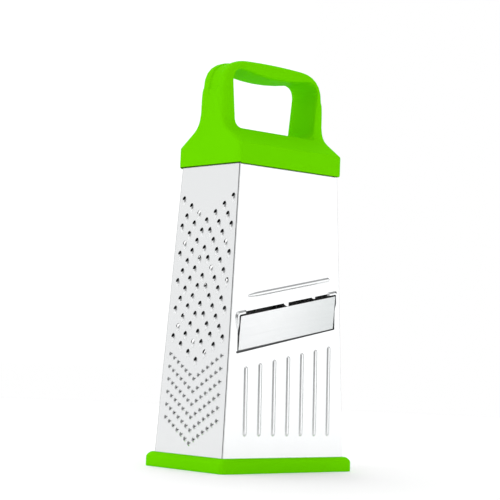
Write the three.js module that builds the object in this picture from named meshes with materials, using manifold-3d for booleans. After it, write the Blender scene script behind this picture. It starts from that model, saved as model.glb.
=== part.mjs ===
// Four-sided box grater: four leaning steel panels between a moulded foot ring and a moulded cap with a
// stirrup handle, and a slicing blade set in a slanted window of the front panel.
// Millimetres, +Z up. The origin is on the table, under the middle of the foot ring.
// The wide front panel faces -Y, the narrow panel with two kinds of holes faces -X.

import * as THREE from 'three';
import { mergeGeometries, mergeVertices } from 'three/addons/utils/BufferGeometryUtils.js';
import Module from 'manifold-3d';

// Steel body: outside sizes where it leaves the foot ring and where it enters the cap
const FOOT_WIDTH = 100.4;
const FOOT_DEPTH = 64.9;
const NECK_WIDTH = 82.5;
const NECK_DEPTH = 55.2;
const STEEL_SHOWN = 177;
const SHEET = 0.6;
const FLANGE = 4;
const BEND = 1;
const FIT = 0.3;

// Foot ring
const RING_HEIGHT = 9;
const RING_STAND_OUT = 4.6;
const RING_CORNER = 3.6;
const RING_EDGE = 1.8;
const RING_GROOVE_FLOOR = 3;
const RING_LIP_HEIGHT = 7;

// Wall of the lips that stand inside the panels, in the ring and in the cap
const LIP_WALL = 1.6;

// Cap and handle; heights are above the cap's lower edge
const CAP_WALL = 1.8;
const CAP_SEAT = 6;
const CAP_BAND = 13;
const CAP_SHELL = 3;
const CAP_ROUND = 2;
const HANDLE_ROUND = 4;
const HANDLE_TUCK = 1;
const SHOULDER_TOP = 21.5;
const SHOULDER_TOP_DEPTH = 35;
const FLARE_TOP = 33;
const HANDLE_DEPTH = 24.6;
const HANDLE_TOP = 68;
const HANDLE_CROWN = 1.4;
const HANDLE_CORNER = 17;
const HANDLE_LEAN = 1.4;
const LOOP_FLOOR = 24.7;
const LOOP_FOOT_CORNER = 7;
const LOOP_TOP_CORNER = 8;
const LOOP_MOUTH_FLARE = 1.2;
const LOOP_MOUTH_DEPTH = 2.5;
const LEG_FOOT = 9.6;
const LEG_TOP = 6;
const GRIP = 9.8;
const GRIP_BELLY = 2.8;
const GROOVE_WIDTH = 9;
const GROOVE_DEPTH = 0.7;
const GROOVE_FOOT_DEPTH = 0.15;

// Slicer window and blade; heights are along the panel, on its middle line, above the foot ring
const SLICER_SLOPE = 0.206;
const BLADE_FOOT = 72.3;
const BLADE_HEIGHT = 20.5;
const BLADE_SIDE = 5.8;
const BLADE_THICK = 0.7;
const BLADE_PROUD = 1.6;
const BLADE_SUNK = 0.2;
const BLADE_LUG = 1;
const BLADE_LUG_HEIGHT = 7;
const BLADE_GRIND = 2.5;
const BLADE_LAND = 0.1;
const SLOT = 2.2;
const WINDOW_GAP = 0.8;
const WINDOW_SIDE_GAP = 1.2;
const WINDOW_RELIEF = 0.75;
const EAR_ARM = 2.2;
const EAR_REACH = 6.5;
const EAR_DROP = 10;
const EAR_ROUND = 0.5;

// Pressed ribs and bead on the front panel
const RIB_WIDTH = 3.5;
const RIB_PITCH = 11.6;
const RIB_COUNT = 7;
const RIB_FOOT = 13;
const RIB_TO_WINDOW = 9.8;
const PRESSED_SHIFT = 1.2;
const RIB_RISE = 0.8;
const BEAD_LENGTH = 66;
const BEAD_WIDTH = 2.5;
const BEAD_ABOVE_SLOT = 9;

// Hole fields. Rows are V-shaped, lowest in the middle; a tooth is a raised half-cone with its mouth upwards.
const VEE_SLOPE = 0.61;
const FIELD_MARGIN = 3;
const TOOTH_SIDES = 6;
const MEDIUM = { mouth: 1.7, length: 3.9, wall: 0.45, flat: 0.85, pitch: 7.75, row: 8.6 };
const COARSE = { mouth: 2.8, length: 6, wall: 0.5, flat: 0.7, pitch: 12.4, row: 13.4 };
const LARGE = { mouth: 3.2, length: 7, wall: 0.5, flat: 0.7, pitch: 10, row: 14 };
const MEDIUM_BELOW_CAP = 33;
const MEDIUM_FOOT = 58;
const COARSE_BELOW_CAP = 42;
const COARSE_FOOT = 14;
const LARGE_BELOW_CAP = 36;
const LARGE_FOOT = 16;
const PRICK = { foot: 1.4, rim: 0.95, bore: 0.5, rise: 0.6, pitch: 4, row: 7.8 };
const PRICK_SIDES = 4;
const PRICK_FOOT = 6.4;
const PRICK_TOP = 46;

// Roundness
const CURVE_STEPS = 6;
const ROUND_STEPS = 3;
const END_STEPS = 3;
const RIB_STEPS = 2;
// Points closer than this are one point
const WELD = 1e-4;
// How far a cutting solid runs past what it cuts
const PAST = 5;

const steel = { color: 0xd9dcdd, roughness: 0.28, metalness: 1 };
const bladeSteel = { color: 0xe4e7e8, roughness: 0.2, metalness: 1 };
const limePlastic = { color: 0x6fd400, roughness: 0.42, metalness: 0 };

const NECK_Z = RING_HEIGHT + STEEL_SHOWN;
// Size of solids that stand for a half space
const REACH = 4 * (STEEL_SHOWN + FOOT_WIDTH);
const WIDE_TAPER = (FOOT_WIDTH - NECK_WIDTH) / 2 / STEEL_SHOWN;
const NARROW_TAPER = (FOOT_DEPTH - NECK_DEPTH) / 2 / STEEL_SHOWN;
// The front and back lean by the depth's taper, the two narrow sides by the width's taper.
const FRONT_LEAN = Math.atan(NARROW_TAPER);
const SIDE_LEAN = Math.atan(WIDE_TAPER);
const SLANT = Math.atan(SLICER_SLOPE);
const wideTaperAlong = WIDE_TAPER * Math.cos(FRONT_LEAN);
const narrowTaperAlong = NARROW_TAPER * Math.cos(SIDE_LEAN);
// The blade leaves an equal strip of sheet at both sides.
const BLADE_HALF = FOOT_WIDTH / 2 - wideTaperAlong * (BLADE_FOOT + BLADE_HEIGHT) - BLADE_SIDE;
// Thickness of a panel and a flange behind it, with their clearances
const PANEL_STACK = 2 * (SHEET + FIT);

const wasm = await Module();
wasm.setup();

// Solid for cutting and joining from a closed geometry
function solid(geometry) {
  const bare = geometry.clone();
  bare.deleteAttribute('normal');
  bare.deleteAttribute('uv');
  const merged = mergeVertices(bare, WELD);
  const vertProperties = new Float32Array(merged.attributes.position.array);
  const triVerts = new Uint32Array(merged.index.array);
  return new wasm.Manifold(new wasm.Mesh({ numProp: 3, vertProperties, triVerts }));
}

// Many equal, separate geometries as one solid
function pattern(geometry, places) {
  const bare = geometry.index ? geometry.toNonIndexed() : geometry;
  const copies = places.map(([u, v]) => bare.clone().translate(u, v, 0));
  return solid(mergeGeometries(copies));
}

function mesh(name, body, look) {
  const { vertProperties, triVerts } = body.getMesh();
  const geometry = new THREE.BufferGeometry();
  geometry.setAttribute('position', new THREE.BufferAttribute(vertProperties, 3));
  geometry.setIndex(new THREE.BufferAttribute(triVerts, 1));
  geometry.computeVertexNormals();
  const made = new THREE.Mesh(geometry, new THREE.MeshStandardMaterial(look));
  made.name = name;
  return made;
}

function polygon(points) {
  return new THREE.Shape(points.map(([x, y]) => new THREE.Vector2(x, y)));
}

// Flat outline raised from one height to another, with rounded edges if asked
function raised(shape, from, to, round = 0) {
  const options = { depth: to - from, bevelEnabled: false, curveSegments: CURVE_STEPS };
  if (round) {
    options.bevelEnabled = true;
    options.bevelThickness = round;
    options.bevelSize = round;
    options.bevelOffset = -round;
    options.bevelSegments = ROUND_STEPS;
    options.depth = to - from - 2 * round;
  }
  return new THREE.ExtrudeGeometry(shape, options).translate(0, 0, round ? from + round : from);
}

// Outline in X and Z, carried along Y to both sides of the middle
function alongY(shape, depth, round = 0) {
  return raised(shape, -depth / 2, depth / 2, round).rotateX(Math.PI / 2);
}

// Outline in Y and Z, carried along X to both sides of the middle
function alongX(shape, width, round = 0) {
  return alongY(shape, width, round).rotateZ(Math.PI / 2);
}

function box(width, depth, from, to) {
  return solid(new THREE.BoxGeometry(width, depth, to - from).translate(0, 0, (from + to) / 2));
}

function halfWidthAt(z) {
  return FOOT_WIDTH / 2 - (z - RING_HEIGHT) * WIDE_TAPER;
}

function halfDepthAt(z) {
  return FOOT_DEPTH / 2 - (z - RING_HEIGHT) * NARROW_TAPER;
}

// Tapered block bounded by the four outer faces of the panels, moved out by an offset
function taperedBlock(offset, from, to) {
  const across = [from, to].map((z) => halfWidthAt(z) + offset / Math.cos(SIDE_LEAN));
  const deep = [from, to].map((z) => halfDepthAt(z) + offset / Math.cos(FRONT_LEAN));
  const trapezoid = ([low, high]) => polygon([[-low, from], [low, from], [high, to], [-high, to]]);
  return solid(alongY(trapezoid(across), REACH)).intersect(solid(alongX(trapezoid(deep), REACH)));
}

// Places of a V-rowed field, as points on the panel: staggered rows, as many columns as the width takes
function veeField(tool, footHalf, taper, rowFoot, rowTop, staggered) {
  const places = [];
  const rows = Math.floor((rowTop - rowFoot) / tool.row) + 1;
  const endRise = VEE_SLOPE * footHalf;
  const room = footHalf - taper * (rowTop + endRise) - FIELD_MARGIN;
  const half = Math.floor(room / tool.pitch);
  for (let row = 0; row < rows; row += 1) {
    const shift = staggered && row % 2 === 1 ? 0.5 : 0;
    for (let column = -half; column <= half - 2 * shift; column += 1) {
      const u = (column + shift) * tool.pitch;
      places.push([u, rowTop - row * tool.row + VEE_SLOPE * Math.abs(u)]);
    }
  }
  return places;
}

// Panel with raised shredding teeth: half-cone hoods are joined on, then hollowed together with their holes.
// The hollow is a double cone, so each hole is a teardrop that is widest under the tooth's mouth.
function withTeeth(panel, tool, places) {
  const { mouth, length, wall, flat } = tool;
  const inner = mouth - wall;
  const hood = new THREE.ConeGeometry(mouth, length, TOOTH_SIDES).rotateX(Math.PI);
  const profile = [[0, wall - length], [inner, 0], [0, inner]].map(([r, v]) => new THREE.Vector2(r, v));
  const hollow = new THREE.LatheGeometry(profile, TOOTH_SIDES);
  const outside = box(REACH, REACH, -SHEET / 2, REACH);
  const hoods = pattern(hood.scale(1, 1, flat).translate(0, -length / 2, 0), places).intersect(outside);
  return panel.add(hoods).subtract(pattern(hollow.scale(1, 1, flat), places));
}

// Panel with small pricked holes, each with a burr round it
function withPricks(panel, tool, places) {
  const { foot, rim, bore, rise } = tool;
  const height = rise + SHEET / 2;
  const burr = new THREE.CylinderGeometry(rim, foot, height, PRICK_SIDES).rotateX(Math.PI / 2);
  const hole = new THREE.CylinderGeometry(bore, bore, 2 * rise + 3 * SHEET, PRICK_SIDES).rotateX(Math.PI / 2);
  const burrs = pattern(burr.translate(0, 0, height / 2 - SHEET / 2), places);
  return panel.add(burrs).subtract(pattern(hole, places));
}

// Frame of a panel: X across it, Y up along it from the foot ring's top, Z outwards, on its outer face
function panelFrame(turn, halfDepth, lean, ...meshes) {
  const leaning = new THREE.Group();
  leaning.position.set(0, -halfDepth, RING_HEIGHT);
  leaning.rotation.x = Math.PI / 2 - lean;
  leaning.add(...meshes);
  const turned = new THREE.Group();
  turned.rotation.z = turn;
  turned.add(leaning);
  return turned;
}

// Ends of a panel along its own face: seated in the ring's groove below and in the cap's groove above.
// A leaning panel reaches lowest at the inner edge of its thickness.
function panelEnds(lean, thickness) {
  const low = (RING_GROOVE_FLOOR + FIT - RING_HEIGHT) / Math.cos(lean) + thickness * Math.tan(lean);
  const high = (STEEL_SHOWN + CAP_SEAT) / Math.cos(lean);
  return [low, high];
}

function panelOutline(footHalf, taper, inset, [low, high]) {
  const halfAt = (v) => footHalf - taper * v - inset;
  return polygon([[-halfAt(low), low], [halfAt(low), low], [halfAt(high), high], [-halfAt(high), high]]);
}

// Wide panel: a flat sheet whose upright edges end flush with the narrow panels' faces
function wideSheet() {
  const outline = panelOutline(FOOT_WIDTH / 2, wideTaperAlong, 0, panelEnds(FRONT_LEAN, SHEET));
  return solid(raised(outline, -SHEET, 0));
}

// Narrow panel: a shallow channel, its bent flanges lying behind the wide panels
function narrowChannel() {
  const [low, high] = panelEnds(SIDE_LEAN, FLANGE);
  const inset = SHEET / Math.cos(FRONT_LEAN) + FIT;
  const footHalf = FOOT_DEPTH / 2;
  const outer = panelOutline(footHalf, narrowTaperAlong, inset, [low - BEND, high + BEND]);
  const inner = panelOutline(footHalf, narrowTaperAlong, inset + SHEET, [low - PAST, high + PAST]);
  const ends = polygon([[-footHalf, low], [footHalf, low], [footHalf, high], [-footHalf, high]]);
  return solid(raised(outer, -FLANGE - PAST, 0, BEND))
    .subtract(solid(raised(inner, -FLANGE - 2 * PAST, -SHEET)))
    .intersect(solid(raised(ends, -FLANGE, PAST)));
}

// Point on the front panel at a distance across and a height above the slicer's slanted base line
function slanted(u, height) {
  return [u, BLADE_FOOT + height + SLICER_SLOPE * u];
}

// Bar with round ends between two points
function stadium([x0, y0], [x1, y1], width) {
  const along = Math.atan2(y1 - y0, x1 - x0);
  const shape = new THREE.Shape();
  shape.absarc(x1, y1, width / 2, along - Math.PI / 2, along + Math.PI / 2, false);
  shape.absarc(x0, y0, width / 2, along + Math.PI / 2, along + 1.5 * Math.PI, false);
  return shape;
}

// Pressed rib: raised outside, hollow behind
function withPressedRib(panel, from, to, width, rise) {
  const hump = new THREE.ExtrudeGeometry(stadium(from, to, width - 2 * rise), {
    depth: SHEET / 2,
    curveSegments: END_STEPS,
    bevelEnabled: true,
    bevelThickness: rise,
    bevelSize: rise,
    bevelSegments: RIB_STEPS,
  });
  const hollow = new THREE.ExtrudeGeometry(stadium(from, to, width - 2 * SHEET), {
    depth: rise + FIT,
    curveSegments: END_STEPS,
    bevelEnabled: false,
  });
  const outside = box(REACH, REACH, -SHEET / 2, REACH);
  const humpOnly = solid(hump.translate(0, 0, -SHEET / 2)).intersect(outside);
  return panel.add(humpOnly).subtract(solid(hollow.translate(0, 0, -SHEET - FIT)));
}

// Raised ear of the sheet over an upper corner of the blade, as an L round that corner
function earOutline(side, grow) {
  const out = BLADE_HALF + EAR_ARM + grow;
  const inside = BLADE_HALF - grow;
  const top = BLADE_HEIGHT + EAR_ARM + SLOT + grow;
  const low = BLADE_HEIGHT + SLOT / 2 - grow;
  const arm = BLADE_HALF - EAR_REACH - grow;
  const foot = BLADE_HEIGHT - EAR_DROP - grow;
  const corners = [[out, foot], [out, top], [arm, top], [arm, low], [inside, low], [inside, foot]];
  const placed = corners.map(([u, height]) => slanted(side * u, height));
  return polygon(side > 0 ? placed : placed.reverse());
}

function frontPanel() {
  const half = BLADE_HALF + WINDOW_SIDE_GAP;
  const foot = -WINDOW_GAP;
  const top = BLADE_HEIGHT + SLOT;
  const corners = [[-half, foot], [half, foot], [half, top], [-half, top]];
  const window = polygon(corners.map(([u, height]) => slanted(u, height)));
  const earInside = BLADE_PROUD + FIT;
  let panel = wideSheet();
  for (const side of [-1, 1]) {
    panel = panel.add(solid(raised(earOutline(side, 0), -SHEET / 2, earInside + SHEET, EAR_ROUND)));
  }
  panel = panel.subtract(solid(raised(window, -2 * SHEET, earInside)));
  for (const side of [-1, 1]) {
    panel = panel.subtract(solid(raised(earOutline(side, -SHEET), -2 * SHEET, earInside)));
  }
  const relief = new THREE.CylinderGeometry(WINDOW_RELIEF, WINDOW_RELIEF, 4 * SHEET, CURVE_STEPS);
  panel = panel.subtract(pattern(relief.rotateX(Math.PI / 2), [slanted(-half, foot)]));
  for (let rib = 0; rib < RIB_COUNT; rib += 1) {
    const u = PRESSED_SHIFT + (rib - (RIB_COUNT - 1) / 2) * RIB_PITCH;
    const ribTop = slanted(u, -WINDOW_GAP - RIB_TO_WINDOW - RIB_WIDTH / 2);
    panel = withPressedRib(panel, [u, RIB_FOOT + RIB_WIDTH / 2], ribTop, RIB_WIDTH, RIB_RISE);
  }
  const beadHeight = top + BEAD_ABOVE_SLOT;
  const beadFrom = slanted(PRESSED_SHIFT - BEAD_LENGTH / 2, beadHeight);
  const beadTo = slanted(PRESSED_SHIFT + BEAD_LENGTH / 2, beadHeight);
  return withPressedRib(panel, beadFrom, beadTo, BEAD_WIDTH, RIB_RISE);
}

// Blade in its own frame: X along the slanted base line, Y up the blade, Z out of its outer face
function slicerBlade() {
  const rise = BLADE_HEIGHT * Math.cos(SLANT);
  const sideAt = (u, y) => [u / Math.cos(SLANT) + y * Math.tan(SLANT), y];
  const half = BLADE_HALF;
  const lugHalf = half + BLADE_LUG;
  const lugLow = rise - BLADE_LUG_HEIGHT;
  const outline = polygon([
    sideAt(-half, 0), sideAt(half, 0), sideAt(half, lugLow), sideAt(lugHalf, lugLow),
    sideAt(lugHalf, rise), sideAt(-lugHalf, rise), sideAt(-lugHalf, lugLow), sideAt(-half, lugLow),
  ]);
  const grind = polygon([[rise - BLADE_GRIND, -BLADE_THICK], [rise + BLADE_GRIND, -BLADE_THICK],
    [rise + BLADE_GRIND, BLADE_THICK], [rise, -BLADE_LAND]]);
  const body = solid(raised(outline, -BLADE_THICK, 0)).subtract(solid(alongX(grind, REACH)));
  const blade = mesh('slicer_blade', body, bladeSteel);
  blade.rotation.x = Math.asin((BLADE_PROUD + BLADE_SUNK) / rise);
  const slantedFrame = new THREE.Group();
  slantedFrame.position.set(0, BLADE_FOOT, -BLADE_SUNK);
  slantedFrame.rotation.z = SLANT;
  slantedFrame.add(blade);
  return slantedFrame;
}

function leftPanel() {
  const footHalf = FOOT_DEPTH / 2;
  const top = STEEL_SHOWN - MEDIUM_BELOW_CAP;
  const teeth = veeField(MEDIUM, footHalf, narrowTaperAlong, MEDIUM_FOOT, top, true);
  const pricks = veeField(PRICK, footHalf, narrowTaperAlong, PRICK_FOOT, PRICK_TOP, false);
  return withPricks(withTeeth(narrowChannel(), MEDIUM, teeth), PRICK, pricks);
}

function rightPanel() {
  const top = STEEL_SHOWN - LARGE_BELOW_CAP;
  const teeth = veeField(LARGE, FOOT_DEPTH / 2, narrowTaperAlong, LARGE_FOOT, top, true);
  return withTeeth(narrowChannel(), LARGE, teeth);
}

function backPanel() {
  const top = STEEL_SHOWN - COARSE_BELOW_CAP;
  const teeth = veeField(COARSE, FOOT_WIDTH / 2, wideTaperAlong, COARSE_FOOT, top, true);
  return withTeeth(wideSheet(), COARSE, teeth);
}

function roundedRectangle(halfWidth, halfDepth, radius) {
  const shape = new THREE.Shape();
  const x = halfWidth - radius;
  const y = halfDepth - radius;
  shape.absarc(x, -y, radius, -Math.PI / 2, 0, false);
  shape.absarc(x, y, radius, 0, Math.PI / 2, false);
  shape.absarc(-x, y, radius, Math.PI / 2, Math.PI, false);
  shape.absarc(-x, -y, radius, Math.PI, 1.5 * Math.PI, false);
  return shape;
}

// Foot ring: a U-shaped channel round the steel's lower edges, its outer upper edge rounded
function baseRing() {
  const halfWidth = FOOT_WIDTH / 2 + RING_STAND_OUT;
  const halfDepth = FOOT_DEPTH / 2 + RING_STAND_OUT;
  const outline = roundedRectangle(halfWidth, halfDepth, RING_CORNER);
  const above = RING_HEIGHT + PAST;
  const block = solid(raised(outline, -RING_EDGE, RING_HEIGHT, RING_EDGE));
  const table = box(REACH, REACH, 0, above);
  const groove = taperedBlock(FIT, RING_GROOVE_FLOOR, above).subtract(
    taperedBlock(-PANEL_STACK, -PAST, RING_LIP_HEIGHT),
  );
  const opening = taperedBlock(-PANEL_STACK - LIP_WALL, -PAST, above);
  return block.intersect(table).subtract(groove).subtract(opening);
}

const CAP_HALF_WIDTH = NECK_WIDTH / 2 + CAP_WALL;
const CAP_HALF_DEPTH = NECK_DEPTH / 2 + CAP_WALL;

// Half of the cap's end view, from the lower edge over the shoulder to the leg of the handle
function capProfile(inset, foot, top) {
  const band = CAP_HALF_DEPTH - inset;
  const neck = HANDLE_DEPTH / 2 - HANDLE_TUCK;
  const shape = new THREE.Shape();
  const shoulder = SHOULDER_TOP_DEPTH / 2;
  const slope = (CAP_HALF_DEPTH - shoulder) / (SHOULDER_TOP - CAP_BAND);
  shape.moveTo(-band, NECK_Z + foot);
  shape.lineTo(band, NECK_Z + foot);
  shape.lineTo(band, NECK_Z + CAP_BAND);
  shape.lineTo(shoulder, NECK_Z + SHOULDER_TOP);
  const bend = SHOULDER_TOP + (shoulder - neck) / slope;
  shape.quadraticCurveTo(neck, NECK_Z + bend, neck, NECK_Z + top);
  shape.lineTo(-neck, NECK_Z + top);
  shape.quadraticCurveTo(-neck, NECK_Z + bend, -shoulder, NECK_Z + SHOULDER_TOP);
  shape.lineTo(-band, NECK_Z + CAP_BAND);
  return shape;
}

// Front outline of the handle, drawn in by one inset at its foot and another higher up: upright legs,
// drawn-in shoulders and a slightly crowned top
function handleOutline(footInset, inset) {
  const half = CAP_HALF_WIDTH - footInset;
  const top = NECK_Z + HANDLE_TOP - inset;
  const lean = CAP_HALF_WIDTH - inset - HANDLE_LEAN;
  const cornerZ = top - HANDLE_CROWN - HANDLE_CORNER;
  const cornerX = lean - HANDLE_CORNER;
  const shape = new THREE.Shape();
  shape.moveTo(-half, NECK_Z + CAP_SEAT + FIT);
  shape.lineTo(half, NECK_Z + CAP_SEAT + FIT);
  shape.lineTo(half, NECK_Z + FLARE_TOP);
  shape.quadraticCurveTo(half, cornerZ, lean, cornerZ);
  shape.bezierCurveTo(lean, top - HANDLE_CORNER / 3, cornerX + HANDLE_CORNER / 2, top - HANDLE_CROWN,
    cornerX, top - HANDLE_CROWN / 2);
  shape.quadraticCurveTo(cornerX / 2, top, 0, top);
  shape.quadraticCurveTo(-cornerX / 2, top, -cornerX, top - HANDLE_CROWN / 2);
  shape.bezierCurveTo(-cornerX - HANDLE_CORNER / 2, top - HANDLE_CROWN, -lean, top - HANDLE_CORNER / 3,
    -lean, cornerZ);
  shape.quadraticCurveTo(-half, cornerZ, -half, NECK_Z + FLARE_TOP);
  return shape;
}

// Opening for the fingers, widened all round if asked: flat floor, legs that thin upwards, a bellied grip
function loopOutline(wider = 0) {
  const floor = NECK_Z + LOOP_FLOOR - wider;
  const footHalf = CAP_HALF_WIDTH - LEG_FOOT + wider;
  const topHalf = CAP_HALF_WIDTH - HANDLE_LEAN - LEG_TOP + wider;
  const bellyZ = NECK_Z + HANDLE_TOP - GRIP + wider;
  const endZ = bellyZ + GRIP_BELLY;
  const endX = topHalf - LOOP_TOP_CORNER;
  const shape = new THREE.Shape();
  shape.moveTo(-footHalf + LOOP_FOOT_CORNER, floor);
  shape.lineTo(footHalf - LOOP_FOOT_CORNER, floor);
  shape.quadraticCurveTo(footHalf, floor, footHalf, floor + LOOP_FOOT_CORNER);
  shape.lineTo(topHalf, endZ - LOOP_TOP_CORNER);
  shape.quadraticCurveTo(topHalf, endZ, endX, endZ);
  shape.quadraticCurveTo(0, bellyZ - GRIP_BELLY, -endX, endZ);
  shape.quadraticCurveTo(-topHalf, endZ, -topHalf, endZ - LOOP_TOP_CORNER);
  shape.lineTo(-footHalf, floor + LOOP_FOOT_CORNER);
  shape.quadraticCurveTo(-footHalf, floor, -footHalf + LOOP_FOOT_CORNER, floor);
  return shape;
}

// Cutter for the finger opening, widening like a bell mouth at the handle's front and back faces
function loopCutter() {
  const straight = HANDLE_DEPTH - 2 * LOOP_MOUTH_DEPTH + 2 * FIT;
  const flared = new THREE.ExtrudeGeometry(loopOutline(), {
    depth: straight,
    curveSegments: CURVE_STEPS,
    bevelEnabled: true,
    bevelThickness: LOOP_MOUTH_DEPTH,
    bevelSize: -LOOP_MOUTH_FLARE,
    bevelOffset: LOOP_MOUTH_FLARE,
    bevelSegments: ROUND_STEPS - 1,
  });
  const handle = box(REACH, HANDLE_DEPTH, 0, REACH);
  const beyond = solid(alongY(loopOutline(LOOP_MOUTH_FLARE), 2 * CAP_HALF_DEPTH)).subtract(handle);
  return solid(flared.translate(0, 0, -straight / 2).rotateX(Math.PI / 2)).add(beyond);
}

// Shallow channel along the outside of the handle, over the grip and running out down each leg
function gripChannel() {
  const ring = new THREE.Shape();
  const reach = CAP_HALF_WIDTH + PAST;
  ring.moveTo(-reach, NECK_Z + FLARE_TOP);
  ring.lineTo(reach, NECK_Z + FLARE_TOP);
  ring.lineTo(reach, NECK_Z + HANDLE_TOP + PAST);
  ring.lineTo(-reach, NECK_Z + HANDLE_TOP + PAST);
  const cutter = solid(alongY(ring, GROOVE_WIDTH));
  return cutter.subtract(solid(alongY(handleOutline(GROOVE_FOOT_DEPTH, GROOVE_DEPTH), GROOVE_WIDTH + PAST)));
}

function handleCap() {
  const handle = solid(alongY(handleOutline(0, 0), HANDLE_DEPTH, HANDLE_ROUND));
  const cap = solid(alongX(capProfile(0, 0, FLARE_TOP), 2 * CAP_HALF_WIDTH, CAP_ROUND));
  const seatTop = NECK_Z + CAP_SEAT + FIT;
  const under = NECK_Z - PAST;
  const core = taperedBlock(-PANEL_STACK, under - PAST, seatTop + PAST);
  const groove = taperedBlock(FIT, under, seatTop).subtract(core);
  const plug = PANEL_STACK + LIP_WALL;
  const hollowHalf = NECK_WIDTH / 2 - plug;
  const hollow = solid(alongX(hollowProfile(NECK_DEPTH / 2 - plug), 2 * hollowHalf));
  const outside = handle.add(cap).subtract(loopCutter()).subtract(gripChannel());
  return outside.subtract(groove).subtract(hollow);
}

// Hollow under the cap, following its shoulders at the shell's thickness
function hollowProfile(half) {
  const shoulder = SHOULDER_TOP_DEPTH / 2 - CAP_SHELL;
  const roof = LOOP_FLOOR - CAP_SHELL;
  return polygon([
    [-half, NECK_Z - PAST], [half, NECK_Z - PAST], [half, NECK_Z + CAP_BAND - CAP_SHELL],
    [shoulder, NECK_Z + roof - CAP_SHELL], [shoulder - CAP_SHELL, NECK_Z + roof],
    [CAP_SHELL - shoulder, NECK_Z + roof], [-shoulder, NECK_Z + roof - CAP_SHELL],
    [-half, NECK_Z + CAP_BAND - CAP_SHELL],
  ]);
}

const grater = new THREE.Group();
grater.add(
  panelFrame(0, FOOT_DEPTH / 2, FRONT_LEAN, mesh('front_panel', frontPanel(), steel), slicerBlade()),
  panelFrame(-Math.PI / 2, FOOT_WIDTH / 2, SIDE_LEAN, mesh('left_panel', leftPanel(), steel)),
  panelFrame(Math.PI, FOOT_DEPTH / 2, FRONT_LEAN, mesh('back_panel', backPanel(), steel)),
  panelFrame(Math.PI / 2, FOOT_WIDTH / 2, SIDE_LEAN, mesh('right_panel', rightPanel(), steel)),
  mesh('base_ring', baseRing(), limePlastic),
  mesh('handle_cap', handleCap(), limePlastic),
);

export default grater;
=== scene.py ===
import math

import bmesh
import bpy
from mathutils import Matrix, Vector


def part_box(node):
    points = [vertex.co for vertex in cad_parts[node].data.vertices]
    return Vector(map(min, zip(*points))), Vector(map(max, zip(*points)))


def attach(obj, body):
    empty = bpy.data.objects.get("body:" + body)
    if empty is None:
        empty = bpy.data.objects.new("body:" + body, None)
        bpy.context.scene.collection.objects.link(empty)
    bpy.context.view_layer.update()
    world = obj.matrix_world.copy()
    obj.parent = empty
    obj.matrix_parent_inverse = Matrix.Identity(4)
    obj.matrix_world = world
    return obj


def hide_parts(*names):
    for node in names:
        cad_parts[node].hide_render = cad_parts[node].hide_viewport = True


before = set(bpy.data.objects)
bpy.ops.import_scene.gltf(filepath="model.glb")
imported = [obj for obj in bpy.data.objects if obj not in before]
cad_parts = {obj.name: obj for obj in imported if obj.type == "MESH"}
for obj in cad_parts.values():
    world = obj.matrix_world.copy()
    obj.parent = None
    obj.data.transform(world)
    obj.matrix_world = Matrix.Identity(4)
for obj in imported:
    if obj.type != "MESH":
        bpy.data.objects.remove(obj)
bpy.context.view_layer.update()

MM = 0.001
BODY = "root"

# Steel body, as in the CAD: outside sizes at the foot ring's top and at the cap's lower edge
FOOT_WIDTH = 100.4 * MM
FOOT_DEPTH = 64.9 * MM
NECK_WIDTH = 82.5 * MM
NECK_DEPTH = 55.2 * MM
RING_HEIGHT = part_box("base_ring")[1][2]
NECK_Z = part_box("handle_cap")[0][2]
STEEL_SHOWN = NECK_Z - RING_HEIGHT
WIDE_TAPER = (FOOT_WIDTH - NECK_WIDTH) / 2 / STEEL_SHOWN
NARROW_TAPER = (FOOT_DEPTH - NECK_DEPTH) / 2 / STEEL_SHOWN
FRONT_LEAN = math.atan(NARROW_TAPER)
SIDE_LEAN = math.atan(WIDE_TAPER)

# Panels: turn about the upright axis, sheet's thickness, and lengths inside the ring and the cap.
# Heights on a panel count from the foot ring's top
FRONT_TURN = 0
BACK_TURN = math.pi
LEFT_TURN = -math.pi / 2
RIGHT_TURN = math.pi / 2
SHEET = 0.6 * MM
RING_SEAT = 5.4 * MM
CAP_SEAT = 6 * MM
PANEL_LOW = -RING_SEAT
PANEL_HIGH = STEEL_SHOWN + CAP_SEAT
PANEL_ENDS = (PANEL_LOW, PANEL_HIGH)
# Corners of a panel's outline, each a side and a height, and the places of its upright lines among them
PANEL_CORNERS = ((-1, PANEL_LOW), (1, PANEL_LOW), (1, PANEL_HIGH), (-1, PANEL_HIGH))
UPRIGHT_LINES = (1, 3)

# Rounding of a wide panel's upright edges, by side
ROLLED = {-1: 0.2 * MM, 1: 0.55 * MM}
# Upright edges of a narrow panel: its bends and flanges, then each edge's rounding and its gap to the
# wide panel, which is left open at the front and shows there as a dark line
BEND = 1 * MM
PANEL_FLANGE = 4 * MM
FRONT_EDGE = {"round": 0.25 * MM, "gap": 0.6 * MM}
REAR_EDGE = {"round": 0.1 * MM, "gap": 0.05 * MM}
ROUND_STEPS = 8

# Hole fields: V-shaped rows, lowest in the middle
VEE_SLOPE = 0.61
FIELD_MARGIN = 3 * MM
MEDIUM = {"pitch": 7.75 * MM, "row": 8.6 * MM, "top": STEEL_SHOWN - 33 * MM, "foot": 58 * MM}
COARSE = {"pitch": 12.4 * MM, "row": 13.4 * MM, "top": STEEL_SHOWN - 42 * MM, "foot": 14 * MM}
LARGE = {"pitch": 10 * MM, "row": 14 * MM, "top": STEEL_SHOWN - 36 * MM, "foot": 16 * MM}
PRICK = {"pitch": 4 * MM, "row": 7.8 * MM, "top": 46 * MM, "foot": 6.4 * MM}

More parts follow.
